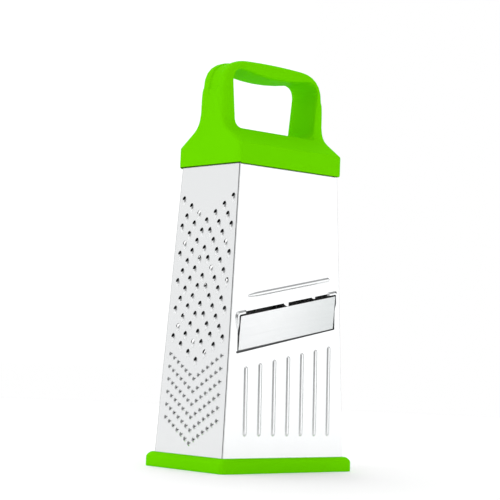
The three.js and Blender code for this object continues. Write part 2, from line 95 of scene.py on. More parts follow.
# Pressed teeth: radius of the hole, reach of the hood below, beside and above it, height of its lip
MEDIUM_TOOTH = {
    "hole": 1.38 * MM, "below": 4.5 * MM, "beside": 1.65 * MM, "above": 1.6 * MM, "lip": 0.85 * MM}
COARSE_TOOTH = {
    "hole": 2.4 * MM, "below": 6.8 * MM, "beside": 2.85 * MM, "above": 2.75 * MM, "lip": 1.5 * MM}
LARGE_TOOTH = {
    "hole": 2.7 * MM, "below": 7.6 * MM, "beside": 3.2 * MM, "above": 3.1 * MM, "lip": 1.75 * MM}
LIP_THICK = 0.45 * MM
# How far the lip stands out over the hole, in the hole's radii
LIP_OVERHANG = 0.16
# How far the sheet above the hole is pressed in, in the lip's heights
PRESSED_IN = 0.15
# Powers that shape a hood: how fast its lip falls away sideways, its wall's curve, its outline's corners
HOOD_ROUND = 2.2
HOOD_WALL = 0.7
HOOD_SQUARE = 0.7
TOOTH_TURNS = 24
TOOTH_RINGS = 7
# Shares of the way from the lip to the flat sheet at which a tooth's underside has points
TOOTH_UNDER = (1.0, 0.75, 0.5, 0.3, 0.02)

# Pricked holes: radii of the bore, the torn rim and the crater's foot, height of the bore's upper end,
# width and height of the rim
PRICK_BORE = 0.42 * MM
PRICK_RIM = 1.2 * MM
PRICK_FOOT = 1.7 * MM
PRICK_SEAT = -0.15 * MM
PRICK_EDGE = 0.05 * MM
PRICK_RISE = 0.5 * MM
# Tears of the rim: depth as a share of its height, and number
PRICK_JAG = 0.25
PRICK_PETALS = 4
PRICK_TURNS = 16
# Shares of the way from the rim to the foot at which a crater's outside has points
PRICK_OUTSIDE = (0, 0.35, 0.7, 1.0)

# Slicer blade: its foot and height are taken on the panel's middle line
SLICER_SLOPE = 0.206
SLANT = math.atan(SLICER_SLOPE)
BLADE_FOOT = 72.3 * MM
BLADE_HEIGHT = 20.5 * MM
BLADE_TO_EDGE = 5.8 * MM
BLADE_HALF = FOOT_WIDTH / 2 - WIDE_TAPER * (BLADE_FOOT + BLADE_HEIGHT) - BLADE_TO_EDGE
BLADE_THICK = 0.7 * MM
BLADE_PROUD = 1.6 * MM
BLADE_SUNK = 0.2 * MM
BLADE_GRIND = 2.5 * MM
BLADE_LAND = 0.1 * MM
BLADE_EDGE = 0.04 * MM
BLADE_EDGE_SEGMENTS = 2
# Joggled flange along the blade's lower edge, which goes in behind it and down behind the panel
JOGGLE_BELOW = 3 * MM
JOGGLE_TOP = 0.5 * MM
JOGGLE_BEHIND = 3 * MM
JOGGLE_THICK = 0.4 * MM
JOGGLE_ROOT = 0.8 * MM
JOGGLE_PAST = 3.4 * MM

# Window round the blade, with a relief hole in its lower left corner; angles are in degrees
SLOT = 2.2 * MM
WINDOW_GAP = 0.8 * MM
WINDOW_SIDE_GAP = 1.2 * MM
RELIEF_RADIUS = 0.75 * MM
RELIEF_FROM = 80
RELIEF_SPAN = 200
RELIEF_STEPS = 8

# Ears: sheet drawn up round the blade's upper corners
EAR_ARM = 2.2 * MM
EAR_REACH = 6.5 * MM
EAR_DROP = 10 * MM
EAR_RISE = 1.3 * MM
EAR_CORNER = 1.2 * MM
EAR_INTO_GAP = 0.15 * MM
# An ear lies this far over the flat sheet
EAR_LIFT = 0.004 * MM
# Height of an ear's inner edge in the slot, as a share of the slot
EAR_INTO_SLOT = 0.45
# Share of its full width that an ear has at its foot
EAR_TAPER = 0.2
# Shares of an ear's upright stretch, width and level stretch over which it rises or falls
EAR_CLIMB_SHARE = 0.6
EAR_WALL_SHARE = 0.6
EAR_END_SHARE = 0.4
# The higher, the squarer an ear's outer corner
EAR_SQUARE = 6
EAR_STEPS = 10
EAR_ACROSS = 12

# Ribs below the window and the bead above it
PRESSED_SHIFT = 1.2 * MM
RIB_RISE = 0.8 * MM
RIB_WIDTH = 3.5 * MM
RIB_PITCH = 11.6 * MM
RIB_COUNT = 7
RIB_FOOT = 13 * MM
RIB_TO_WINDOW = 9.8 * MM
# Share of a rib's half width that its wall takes
RIB_WALL_SHARE = 0.8
RIB_STEPS_ACROSS = 16
RIB_STEPS_ALONG = 12
RIB_STEPS_END = 8
BEAD_HALF = 33 * MM
BEAD_WIDTH = 3 * MM
BEAD_ABOVE_SLOT = 9 * MM
# The bead's first end is drawn out to a point: share of the width it starts with, and length in widths
BEAD_POINT = 0.5
POINT_LENGTH = 2.5

# Plastic mouldings: grid and rounds of smoothing that soften the CAD solids' edges
MOULD_VOXEL = 0.5 * MM
MOULD_SMOOTHING = 0.5
HANDLE_ROUNDS = 6
RING_ROUNDS = 4
# Foot ring's outer upper edge: how far it rounds in and down, and the ring's corner as in the CAD
RING_ROUND_IN = 4.6 * MM
RING_ROUND_DOWN = 3.7 * MM
RING_CORNER = 3.6 * MM
# Cap's underside in painted shade: its height, and the upward part of a normal below which a face looks
# down
RIM_DEPTH = 2 * MM
UNDERSIDE = -0.5

# Places of the materials in painted shade: a sheet's inside, pricked craters' walls, the cap's underside
OUTSIDE = 0
INSIDE = 1
CRATER_SHADE = 2
RIM = 1

# Edges with a larger angle than this, in degrees, are shaded sharp
SMOOTH_ANGLE = 35
# Points nearer than this are joined
WELD = 0.001 * MM


# Shared mesh making

def quarter_turn(steps):
    """Angles from 0 to a right angle."""
    return [math.pi / 2 * i / steps for i in range(steps + 1)]


def full_turn(steps):
    """Angles once round, without the last."""
    return [2 * math.pi * i / steps for i in range(steps)]


def smoothstep(share):
    """From 0 to 1 with a level start and end."""
    return share * share * (3 - 2 * share)


def shells(bm):
    """Groups of faces that hang together."""
    left = set(bm.faces)
    while left:
        group = [left.pop()]
        for face in group:
            for near in (f for edge in face.edges for f in edge.link_faces):
                if near in left:
                    left.remove(near)
                    group.append(near)
        yield group


def enclosed(faces):
    """Six times the volume inside faces, below 0 if they look inwards."""
    total = 0.0
    for face in faces:
        first = face.verts[0].co
        for second, third in zip(face.verts[1:], face.verts[2:]):
            total += first.dot(second.co.cross(third.co))
    return total


def face_outwards(bm):
    bmesh.ops.recalc_face_normals(bm, faces=bm.faces)
    for group in shells(bm):
        if enclosed(group) < 0:
            bmesh.ops.reverse_faces(bm, faces=group)


def weld(bm):
    bmesh.ops.remove_doubles(bm, verts=bm.verts, dist=WELD)


def new_object(name, bm, *materials):
    """Object of a mesh, whose faces get their flat or smooth shading back once sharp edges are marked."""
    smooth = [face.smooth for face in bm.faces]
    mesh = bpy.data.meshes.new(name)
    bm.to_mesh(mesh)
    bm.free()
    mesh.set_sharp_from_angle(angle=math.radians(SMOOTH_ANGLE))
    mesh.polygons.foreach_set("use_smooth", smooth)
    obj = bpy.data.objects.new(name, mesh)
    bpy.context.scene.collection.objects.link(obj)
    for material in materials:
        mesh.materials.append(material)
    return obj


def finish_piece(obj, slot_name, *nodes):
    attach(obj, BODY)
    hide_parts(*nodes)


def grid_faces(bm, rows, closed, finishes=()):
    """Smooth faces between rows of points, the first bands with their own finish; closed rows join up."""
    made = [[bm.verts.new(p) for p in row] for row in rows]
    for band, (low, high) in enumerate(zip(made, made[1:])):
        count = len(low)
        for i in range(count if closed else count - 1):
            j = (i + 1) % count
            face = bm.faces.new((low[i], low[j], high[j], high[i]))
            face.material_index = finishes[band] if band < len(finishes) else OUTSIDE
            face.smooth = True
    return made


def add_bar(bm, rows, closed):
    """Rows of points joined along a bar, with a face on both its ends."""
    made = grid_faces(bm, rows, closed)
    bm.faces.new(made[0])
    bm.faces.new(made[-1])


def add_prism(bm, front, back):
    """Solid between two outlines with the same number of points."""
    rows = [[bm.verts.new(p) for p in outline] for outline in (front, back)]
    bm.faces.new(rows[0])
    bm.faces.new(reversed(rows[1]))
    for i in range(len(front)):
        j = (i + 1) % len(front)
        bm.faces.new((rows[0][j], rows[0][i], rows[1][i], rows[1][j]))


# Sheets and their upright edges, made lying down: X (u) across, Y (v) up the panel, Z (w) outwards

def panel_matrix(turn, half_depth, lean):
    """Stand a panel up on its side of the grater, with its outer face's foot at the ring's top."""
    stand = Matrix.Translation((0, -half_depth, RING_HEIGHT))
    return Matrix.Rotation(turn, 4, "Z") @ stand @ Matrix.Rotation(math.pi / 2 - lean, 4, "X")


def wide_matrix(turn):
    return panel_matrix(turn, FOOT_DEPTH / 2, FRONT_LEAN)


def narrow_matrix(turn):
    return panel_matrix(turn, FOOT_WIDTH / 2, SIDE_LEAN)


def fill_loops(bm, loops, w, finish):
    """Flat faces between an outline and its holes, at one height over the panel's outer face."""
    rings = [[bm.verts.new((u, v, w)) for u, v in loop] for loop in loops]
    edges = []
    for ring in rings:
        edges += [bm.edges.new((a, b)) for a, b in zip(ring, ring[1:] + ring[:1])]
    for face in bmesh.ops.triangle_fill(bm, use_beauty=True, edges=edges)["geom"]:
        if isinstance(face, bmesh.types.BMFace):
            face.material_index = finish
    return rings


def flat_sheet(bm, outline, pressed, openings=()):
    """Both faces of a sheet, walls at its ends and openings; upright lines and pressed holes stay open."""
    loops = [outline, *openings, *pressed]
    front = fill_loops(bm, loops, 0, OUTSIDE)
    # The inner face is in painted shade
    back = fill_loops(bm, loops, -SHEET, INSIDE)
    for k in range(1 + len(openings)):
        count = len(loops[k])
        for i in range(count):
            j = (i + 1) % count
            if k > 0 or i not in UPRIGHT_LINES:
                bm.faces.new((front[k][i], front[k][j], back[k][j], back[k][i]))


def quarter_round(radius):
    """Profile of a rounded edge: distance in from the edge, and height over the outer face."""
    turn = quarter_turn(ROUND_STEPS)
    return [(radius * (1 - math.sin(a)), -radius * (1 - math.cos(a))) for a in turn]


def add_upright(bm, side, profile, halves):
    """Bar of a profile up one side of a panel, whose half widths at its two ends are given."""
    rows = []
    for v, half in zip(PANEL_ENDS, halves):
        rows.append([(side * (half - u), v, w) for u, w in profile])
    add_bar(bm, rows, closed=False)


def wide_half(v):
    """Half width of a wide panel at a height."""
    return FOOT_WIDTH / 2 - WIDE_TAPER * v


def wide_outline():
    return [(side * (wide_half(v) - ROLLED[side]), v) for side, v in PANEL_CORNERS]


def add_rolled_edges(bm):
    """Rounded upright edges of a wide panel."""
    halves = [wide_half(v) for v in PANEL_ENDS]
    for side, radius in ROLLED.items():
        add_upright(bm, side, quarter_round(radius) + [(0, -SHEET), (radius, -SHEET)], halves)


def narrow_half(v, edge):
    """Distance from a narrow panel's middle line to one of its edges at a height."""
    return FOOT_DEPTH / 2 - NARROW_TAPER * v - SHEET - edge["gap"]


def add_bends(bm, edges):
    """Rounded upright edges of a narrow panel, and the flanges behind the wide panels."""
    flange = [(0, -PANEL_FLANGE), (SHEET, -PANEL_FLANGE), (SHEET, -SHEET), (BEND, -SHEET)]
    for side in (-1, 1):
        edge = edges[side]
        profile = [(BEND, 0)] + quarter_round(edge["round"]) + flange
        add_upright(bm, side, profile, [narrow_half(v, edge) for v in PANEL_ENDS])


def finish_panel(name, node, bm, place, materials):
    """Make a sheet a piece that stands on its side of the grater."""
    face_outwards(bm)
    bm.transform(place)
    obj = new_object(name, bm, *materials)
    finish_piece(obj, "sheet_steel", node)


# Teeth and pricked holes, and the panels that have them

def vee_places(field, foot_half, taper, staggered=True):
    """Places of a field's holes, with as many columns as fit on the panel at the field's top."""
    places = []
    rows = math.floor((field["top"] - field["foot"]) / field["row"]) + 1
    room = foot_half - taper * (field["top"] + VEE_SLOPE * foot_half) - FIELD_MARGIN
    half = math.floor(room / field["pitch"])
    for row in range(rows):
        shift = 0.5 if staggered and row % 2 else 0.0
        for column in range(-half, half + 1 - round(2 * shift)):
            u = (column + shift) * field["pitch"]
            places.append((u, field["top"] - row * field["row"] + VEE_SLOPE * abs(u)))
    return places


def tooth_edge(tooth, angle):
    """Outer edge of a tooth's pressed patch at an angle that is 0 straight down the panel."""
    reach = tooth["below"] if math.cos(angle) > 0 else tooth["above"]
    across = math.copysign(abs(math.sin(angle)) ** HOOD_SQUARE, math.sin(angle))
    return across * tooth["beside"], -math.cos(angle) * reach


def tooth_point(tooth, angle, share):
    """Point of a tooth, from its cutting lip at share 0 to the flat sheet at share 1."""
    down = math.cos(angle)
    lip = max(0.0, 0.5 + 0.5 * down) ** HOOD_ROUND
    rim_u = math.sin(angle) * tooth["hole"]
    rim_v = -down * tooth["hole"] + lip * LIP_OVERHANG * tooth["hole"]
    edge_u, edge_v = tooth_edge(tooth, angle)
    fall = max(0.0, 1 - share * share) ** HOOD_WALL
    sunk = max(0.0, -down) * PRESSED_IN * tooth["lip"]
    rise = (lip * tooth["lip"] - sunk) * fall
    return rim_u + (edge_u - rim_u) * share, rim_v + (edge_v - rim_v) * share, rise


def tooth_ring(tooth, place, share, depth=0.0):
    """Points round a tooth at a share of the way from its lip, and at a depth below its outside."""
    u0, v0 = place
    ring = [tooth_point(tooth, a, share) for a in full_turn(TOOTH_TURNS)]
    return [(u0 + u, v0 + v, w - depth) for u, v, w in ring]


def add_tooth(bm, tooth, place):
    """Hood with a cutting lip: its underside from the sheet's inner face to the lip, then its outside."""
    rows = []
    for share in TOOTH_UNDER:
        rows.append(tooth_ring(tooth, place, share, LIP_THICK + (SHEET - LIP_THICK) * share))
    for ring in range(TOOTH_RINGS):
        rows.append(tooth_ring(tooth, place, ring / (TOOTH_RINGS - 1)))
    # The underside is in painted shade
    grid_faces(bm, rows, closed=True, finishes=[INSIDE] * len(TOOTH_UNDER))


def tooth_cut(tooth, place):
    return [(u, v) for u, v, _ in tooth_ring(tooth, place, 1.0)]


def prick_ring(place, radius, rise, jag=0.0):
    u0, v0 = place
    ring = []
    for a in full_turn(PRICK_TURNS):
        height = rise * (1 - jag * (0.5 + 0.5 * math.cos(PRICK_PETALS * a)))
        ring.append((u0 + radius * math.cos(a), v0 + radius * math.sin(a), height))
    return ring


def add_prick(bm, place):
    """Pricked hole: a small crater with a torn rim, its bore and inner wall in painted shade."""
    rows = [prick_ring(place, PRICK_FOOT, -SHEET)]
    rows.append(prick_ring(place, PRICK_BORE, -SHEET))
    rows.append(prick_ring(place, PRICK_BORE, PRICK_SEAT))
    rows.append(prick_ring(place, PRICK_RIM - PRICK_EDGE, PRICK_RISE, PRICK_JAG))
    for share in PRICK_OUTSIDE:
        radius = PRICK_RIM + (PRICK_FOOT - PRICK_RIM) * share
        rows.append(prick_ring(place, radius, PRICK_RISE * (1 - share), PRICK_JAG * (1 - share)))
    grid_faces(bm, rows, closed=True, finishes=(INSIDE, INSIDE, CRATER_SHADE))


def prick_cut(place):
    return [(u, v) for u, v, _ in prick_ring(place, PRICK_FOOT, 0)]


def make_back(*materials):
    bm = bmesh.new()
    places = vee_places(COARSE, FOOT_WIDTH / 2, WIDE_TAPER)
    flat_sheet(bm, wide_outline(), [tooth_cut(COARSE_TOOTH, p) for p in places])
    add_rolled_edges(bm)
    for place in places:
        add_tooth(bm, COARSE_TOOTH, place)
    weld(bm)
    finish_panel("back_sheet", "back_panel", bm, wide_matrix(BACK_TURN), materials)


def make_narrow(name, node, turn, tooth_field, tooth, prick_field, *materials):
    """Narrow panel with a field of teeth and, where it has one, a field of pricked holes."""
    bm = bmesh.new()
    # The panel's side that lies at the grater's front
    front = 1 if turn < 0 else -1
    edges = {front: FRONT_EDGE, -front: REAR_EDGE}
    outline = [(side * (narrow_half(v, edges[side]) - BEND), v) for side, v in PANEL_CORNERS]
    teeth = vee_places(tooth_field, FOOT_DEPTH / 2, NARROW_TAPER)
    pricks = []
    if prick_field:
        pricks = vee_places(prick_field, FOOT_DEPTH / 2, NARROW_TAPER, staggered=False)
    flat_sheet(bm, outline, [tooth_cut(tooth, p) for p in teeth] + [prick_cut(p) for p in pricks])
    for place in teeth:
        add_tooth(bm, tooth, place)
    for place in pricks:
        add_prick(bm, place)
    add_bends(bm, edges)
    weld(bm)
    finish_panel(name, node, bm, narrow_matrix(turn), materials)


# Front panel with its ribs, bead, window and ears

def slanted(u, height):
    """Point at a height above the line of the blade's lower edge."""
    return u, BLADE_FOOT + height + SLICER_SLOPE * u


def window_outline():
    half = BLADE_HALF + WINDOW_SIDE_GAP
    foot, top = -WINDOW_GAP, BLADE_HEIGHT + SLOT
    corner_u, corner_v = slanted(-half, foot)
    relief = []
    for i in range(RELIEF_STEPS + 1):
        a = math.radians(RELIEF_FROM + RELIEF_SPAN * i / RELIEF_STEPS)
        relief.append((corner_u + RELIEF_RADIUS * math.cos(a), corner_v + RELIEF_RADIUS * math.sin(a)))
    return relief + [slanted(half, foot), slanted(half, top), slanted(-half, top)]


def hump_stations(length, radius):
    """Places along a pressed rib, close together in its round ends."""
    turn = quarter_turn(RIB_STEPS_END)
    first = [-radius * math.cos(a) for a in turn]
    middle = [length * i / RIB_STEPS_ALONG for i in range(1, RIB_STEPS_ALONG)]
    last = [length + radius * math.sin(a) for a in turn]
    return first + middle + last


def hump_rows(start, end, width, point_start=1.0):
    """Points of a pressed rib; point_start below 1 draws its first end out to a narrow point."""
    a, b = Vector(start), Vector(end)
    along = (b - a).normalized()
    across = Vector((-along.y, along.x))
    length = (b - a).length
    radius = width / 2
    rows = []
    for s in hump_stations(length, radius):
        past = max(0.0, -s, s - length) / radius
        half = radius * math.sqrt(max(0.0, 1 - past * past))
        drawn = min(1.0, (s + radius) / (POINT_LENGTH * width))
        half *= point_start + (1 - point_start) * drawn
        row = []
        for k in range(RIB_STEPS_ACROSS + 1):
            t = -1 + 2 * k / RIB_STEPS_ACROSS
            p = a + along * s + across * (t * half)
            wall = min(1.0, (1 - abs(t)) / RIB_WALL_SHARE)
            row.append((p.x, p.y, RIB_RISE * smoothstep(wall) * half / radius))
        rows.append(row)
    return rows


def hump_cut(rows):
    border = [row[0] for row in rows] + [row[-1] for row in reversed(rows[1:-1])]
    return [(u, v) for u, v, _ in border]


def add_hump(bm, rows):
    grid_faces(bm, rows, closed=False)
    under = [[(u, v, w - SHEET) for u, v, w in row] for row in rows]
    # The underside is in painted shade
    grid_faces(bm, under, closed=False, finishes=[INSIDE] * len(rows))


def front_humps():
    """Points of the ribs, whose tops follow the window's slant, and of the bead."""
    humps = []
    for rib in range(RIB_COUNT):
        u = PRESSED_SHIFT + (rib - (RIB_COUNT - 1) / 2) * RIB_PITCH
        rib_top = slanted(u, -WINDOW_GAP - RIB_TO_WINDOW - RIB_WIDTH / 2)
        humps.append(hump_rows((u, RIB_FOOT + RIB_WIDTH / 2), rib_top, RIB_WIDTH))
    bead = BLADE_HEIGHT + SLOT + BEAD_ABOVE_SLOT
    bead_from = slanted(PRESSED_SHIFT - BEAD_HALF, bead)
    bead_to = slanted(PRESSED_SHIFT + BEAD_HALF, bead)
    humps.append(hump_rows(bead_from, bead_to, BEAD_WIDTH, BEAD_POINT))
    return humps


def ear_path():
    """Inner edge of an ear: up beside the blade, round its corner, then along its upper edge."""
    inner_u = BLADE_HALF + WINDOW_SIDE_GAP - EAR_INTO_GAP
    top = BLADE_HEIGHT + SLOT * EAR_INTO_SLOT
    foot = BLADE_HEIGHT - EAR_DROP
    middle_u, middle_v = inner_u - EAR_CORNER, top - EAR_CORNER
    path = []
    for i in range(EAR_STEPS + 1):
        path.append((inner_u, foot + (middle_v - foot) * i / EAR_STEPS))
    for a in quarter_turn(EAR_STEPS)[1:]:
        path.append((middle_u + EAR_CORNER * math.cos(a), middle_v + EAR_CORNER * math.sin(a)))
    for i in range(1, EAR_STEPS + 1):
        path.append((middle_u - (EAR_REACH - EAR_CORNER) * i / EAR_STEPS, top))
    return path


def add_ear(bm, side):
    """Ear over one corner of the blade: flat on top, falling steeply to the panel."""
    path = ear_path()
    last = len(path) - 1
    rows = []
    for i, (u, h) in enumerate(path):
        climb = min(1.0, i / EAR_STEPS)
        end = min(1.0, (last - i) / EAR_STEPS / EAR_END_SHARE)
        rise = smoothstep(min(1.0, climb / EAR_CLIMB_SHARE))
        fade = rise * math.sqrt(max(0.0, 1 - (1 - end) ** 2))
        before = Vector(path[max(0, i - 1)])
        after = Vector(path[min(last, i + 1)])
        way = (after - before).normalized()
        out = Vector((way.y, -way.x))
        out /= (abs(out.x) ** EAR_SQUARE + abs(out.y) ** EAR_SQUARE) ** (1 / EAR_SQUARE)
        width = EAR_ARM * (EAR_TAPER + (1 - EAR_TAPER) * climb)
        row = []
        for k in range(EAR_ACROSS + 1):
            s = k / EAR_ACROSS
            p = Vector((u, h)) + out * (width * s)
            x, y = slanted(side * p.x, p.y)
            wall = min(1.0, (1 - s) / EAR_WALL_SHARE)
            row.append((x, y, EAR_RISE * fade * smoothstep(wall) + EAR_LIFT))
        rows.append(row + [(x, y, w - SHEET) for x, y, w in reversed(row)])
    add_bar(bm, rows, closed=True)


def make_front(*materials):
    bm = bmesh.new()
    humps = front_humps()
    flat_sheet(bm, wide_outline(), [hump_cut(rows) for rows in humps], [window_outline()])
    add_rolled_edges(bm)
    for rows in humps:
        add_hump(bm, rows)
    weld(bm)
    for side in (-1, 1):
        add_ear(bm, side)
    finish_panel("front_sheet", "front_panel", bm, wide_matrix(FRONT_TURN), materials)


# Slicer blade

def blade_face(low, high):
    """Corners of a stretch of the blade between two lines along it, each a height and a depth."""
    corners = ((-1, *low), (1, *low), (1, *high), (-1, *high))
    half = BLADE_HALF / math.cos(SLANT)
    return [(side * half + y * math.tan(SLANT), y, w) for side, y, w in corners]


def add_strip(bm, half, heights, depths):
    """Bar along the slant of the blade, between two heights above its lower edge and two depths."""
    low, high = heights
    ends = [slanted(-half, low), slanted(half, low), slanted(half, high), slanted(-half, high)]
    add_prism(bm, *[[(*p, w) for p in ends] for w in depths])


def add_flange(bm):
    """Joggled flange: a strip straight in from the blade, then one down behind the panel."""
    reach = JOGGLE_BEHIND + JOGGLE_THICK
    add_strip(bm, BLADE_HALF, (JOGGLE_TOP - JOGGLE_THICK, JOGGLE_TOP), (-JOGGLE_ROOT, -reach))
    add_strip(bm, BLADE_HALF + JOGGLE_PAST, (-JOGGLE_BELOW, JOGGLE_TOP), (-JOGGLE_BEHIND, -reach))


def make_blade(*materials):
    """Flat plate ground from behind to a thin upper edge and leaning out at its top, with its flange."""
    bm = bmesh.new()
    rise = BLADE_HEIGHT * math.cos(SLANT)
    ground = rise - BLADE_GRIND
    front = [(0, 0), (ground, 0), (rise, 0)]
    behind = [(0, -BLADE_THICK), (ground, -BLADE_THICK), (rise, -BLADE_LAND)]
    for k in range(len(front) - 1):
        add_prism(bm, blade_face(front[k], front[k + 1]), blade_face(behind[k], behind[k + 1]))
    weld(bm)
    inner = [f for f in bm.faces if all(abs(v.co.y - ground) < WELD for v in f.verts)]
    bmesh.ops.delete(bm, geom=inner, context="FACES_ONLY")
    lean = Matrix.Rotation(math.asin((BLADE_PROUD + BLADE_SUNK) / rise), 4, "X")
    place = Matrix.Translation((0, BLADE_FOOT, -BLADE_SUNK)) @ Matrix.Rotation(SLANT, 4, "Z") @ lean
    bm.transform(place)
    plate = set(bm.faces)
    add_flange(bm)
    # The flange is in painted shade, so the gap below the blade shows dark
    for face in bm.faces:
        face.material_index = OUTSIDE if face in plate else INSIDE
        face.smooth = True
    face_outwards(bm)
    bm.transform(wide_matrix(FRONT_TURN))
    obj = new_object("blade", bm, *materials)
    edge = obj.modifiers.new("edge", "BEVEL")
    edge.width = BLADE_EDGE
    edge.segments = BLADE_EDGE_SEGMENTS
    finish_piece(obj, "blade_steel", "slicer_blade")


# Moulded plastic: the CAD solids with every edge softly rounded, as a mould leaves them

def paint_underside_shade(mesh):
    """Give the cap's lowest faces that look down the material with painted shade."""
    for face in mesh.polygons:
        if face.center.z < NECK_Z + RIM_DEPTH and face.normal.z < UNDERSIDE:
            face.material_index = RIM


def round_ring(mesh):
    """Turn the square section along the ring's outer upper edge into a quarter of an ellipse."""
    _, (half_width, half_depth, height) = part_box("base_ring")
    foot = height - RING_ROUND_DOWN
    for vert in mesh.vertices:
        x, y, z = vert.co
        past = Vector((abs(x) - half_width + RING_CORNER, abs(y) - half_depth + RING_CORNER))
        corner = Vector((max(past.x, 0.0), max(past.y, 0.0)))
        inside = corner.length + min(max(past), 0.0) - RING_CORNER
        out = min(1.0, max(0.0, 1 + inside / RING_ROUND_IN))
        up = min(1.0, max(0.0, (z - foot) / RING_ROUND_DOWN))
        if out > 0 and up > 0:
            way = corner.normalized()
            shift = RING_ROUND_IN * out * (math.sqrt(1 - up * up / 2) - 1)
            vert.co.x += math.copysign(way.x, x) * shift
            vert.co.y += math.copysign(way.y, y) * shift
            vert.co.z += RING_ROUND_DOWN * up * (math.sqrt(1 - out * out / 2) - 1)


def make_moulded(name, node, rounds, finish_mesh, *materials):
    """Softened copy of a CAD solid, which finish_mesh then works over."""
    source = bpy.data.objects.new(name + "_source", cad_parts[node].data.copy())
    bpy.context.scene.collection.objects.link(source)
    remesh = source.modifiers.new("remesh", "REMESH")
    remesh.mode = "VOXEL"
    remesh.voxel_size = MOULD_VOXEL
    smooth = source.modifiers.new("smooth", "SMOOTH")
    smooth.factor = MOULD_SMOOTHING
    smooth.iterations = rounds
    evaluated = source.evaluated_get(bpy.context.evaluated_depsgraph_get())
    mesh = bpy.data.meshes.new_from_object(evaluated)
    bpy.data.objects.remove(source)
    mesh.name = name
    mesh.materials.clear()
    for material in materials:
        mesh.materials.append(material)
    mesh.polygons.foreach_set("use_smooth", [True] * len(mesh.polygons))
    finish_mesh(mesh)
    obj = bpy.data.objects.new(name, mesh)
    bpy.context.scene.collection.objects.link(obj)
    finish_piece(obj, "lime_plastic", node)


# Shader nodes

def new_material(name):
    material = bpy.data.materials.new(name)
    material.use_nodes = True
    tree = material.node_tree
    return material, tree, tree.nodes["Principled BSDF"]


def noise(tree, density, detail, turn=0.0):
    """Noise in the object's own space, with its density along each axis, turned about Y."""
    coords = tree.nodes.new("ShaderNodeTexCoord")
    mapping = tree.nodes.new("ShaderNodeMapping")
    mapping.vector_type = "TEXTURE"
    mapping.inputs["Rotation"].default_value = (0, turn, 0)
    mapping.inputs["Scale"].default_value = [1 / d for d in density]
    texture = tree.nodes.new("ShaderNodeTexNoise")
    texture.inputs["Scale"].default_value = 1.0
    texture.inputs["Detail"].default_value = detail
    tree.links.new(coords.outputs["Object"], mapping.inputs["Vector"])
    tree.links.new(mapping.outputs["Vector"], texture.inputs["Vector"])
    return texture.outputs["Fac"]


def ramp(tree, share, low, high):
    node = tree.nodes.new("ShaderNodeMapRange")
    node.inputs["To Min"].default_value = low
    node.inputs["To Max"].default_value = high
    tree.links.new(share, node.inputs["Value"])
    return node.outputs["Result"]


def smooth_range(tree, value, low, high):
    """0 at the first value, 1 at the second, smooth between."""
    node = tree.nodes.new("ShaderNodeMapRange")
    node.interpolation_type = "SMOOTHSTEP"
    node.inputs["From Min"].default_value = low
    node.inputs["From Max"].default_value = high
    tree.links.new(value, node.inputs["Value"])
    return node.outputs["Result"]


def calculate(tree, operation, *values):
    node = tree.nodes.new("ShaderNodeMath")
    node.operation = operation
    for socket, value in zip(node.inputs, values):
        if isinstance(value, (int, float)):
            socket.default_value = value
        else:
            tree.links.new(value, socket)
    return node.outputs["Value"]


def colour_mix(tree, share, first, second):
    node = tree.nodes.new("ShaderNodeMix")
    node.data_type = "RGBA"
    node.inputs["A"].default_value = (*first, 1)
    node.inputs["B"].default_value = (*second, 1)
    tree.links.new(share, node.inputs["Factor"])
    return node.outputs["Result"]


def bump(tree, shader, height, strength, distance):
    node = tree.nodes.new("ShaderNodeBump")
    node.inputs["Strength"].default_value = strength
    node.inputs["Distance"].default_value = distance
    tree.links.new(height, node.inputs["Height"])
    tree.links.new(node.outputs["Normal"], shader.inputs["Normal"])


# Materials

# Rolling grain: density of its noise along each axis, turn about Y and strength of its bump
UPRIGHT_GRAIN = {"density": (1500, 1500, 30), "turn": 0.0, "strength": 0.01}
BLADE_GRAIN = {"density": (25, 1800, 1800), "turn": -SLANT, "strength": 0.03}
GRAIN_DETAIL = 4.0
GRAIN_HEIGHT = 0.02 * MM
# Clouding of the polish
POLISH_DENSITY = (22, 22, 11)
CLOUD_DETAIL = 3.0

# Steel finishes: darkest and lightest colour, least and most roughness, and grain
SHEET_FINISH = {
    "dark": (0.725, 0.735, 0.74), "light": (0.745, 0.755, 0.76), "rough": (0.21, 0.27),
    "grain": UPRIGHT_GRAIN}
# Painted shade on the sheets' inner faces, undersides and bores and the blade's flange: the grater's
# inside
INSIDE_PAINTED_SHADE = {
    "dark": (0.15, 0.153, 0.156), "light": (0.19, 0.193, 0.196), "rough": (0.4, 0.5),
    "grain": UPRIGHT_GRAIN}
# Painted shade on the inner wall of a pricked hole's crater
CRATER_PAINTED_SHADE = {
    "dark": (0.31, 0.315, 0.32), "light": (0.37, 0.375, 0.38), "rough": (0.35, 0.45),
    "grain": UPRIGHT_GRAIN}
BLADE_FINISH = {
    "dark": (0.63, 0.64, 0.645), "light": (0.725, 0.735, 0.74), "rough": (0.20, 0.30),
    "grain": BLADE_GRAIN}
# Shares of the blade's length between which painted shade darkens it
BLADE_SHADED = (0.25, 1.1)
BLADE_SHADE = (0.78, 0.80, 0.795)

# Lime plastic, and the cap's underside in painted shade: darkest and lightest colour
LIME_FINISH = {"dark": (0.135, 0.619, 0.0), "light": (0.149, 0.650, 0.0)}
RIM_PAINTED_SHADE = {"dark": (0.03, 0.10, 0.0), "light": (0.034, 0.11, 0.0)}
LIME_ROUGH = (0.36, 0.46)
# Low, because the photograph shows hardly any mirrored light on the plastic
LIME_IOR = 1.02
FLOW_DENSITY = (30, 30, 30)
SATIN_DENSITY = (2400, 2400, 2400)
SATIN_DETAIL = 2.0
SATIN_STRENGTH = 0.05
SATIN_HEIGHT = 0.05 * MM


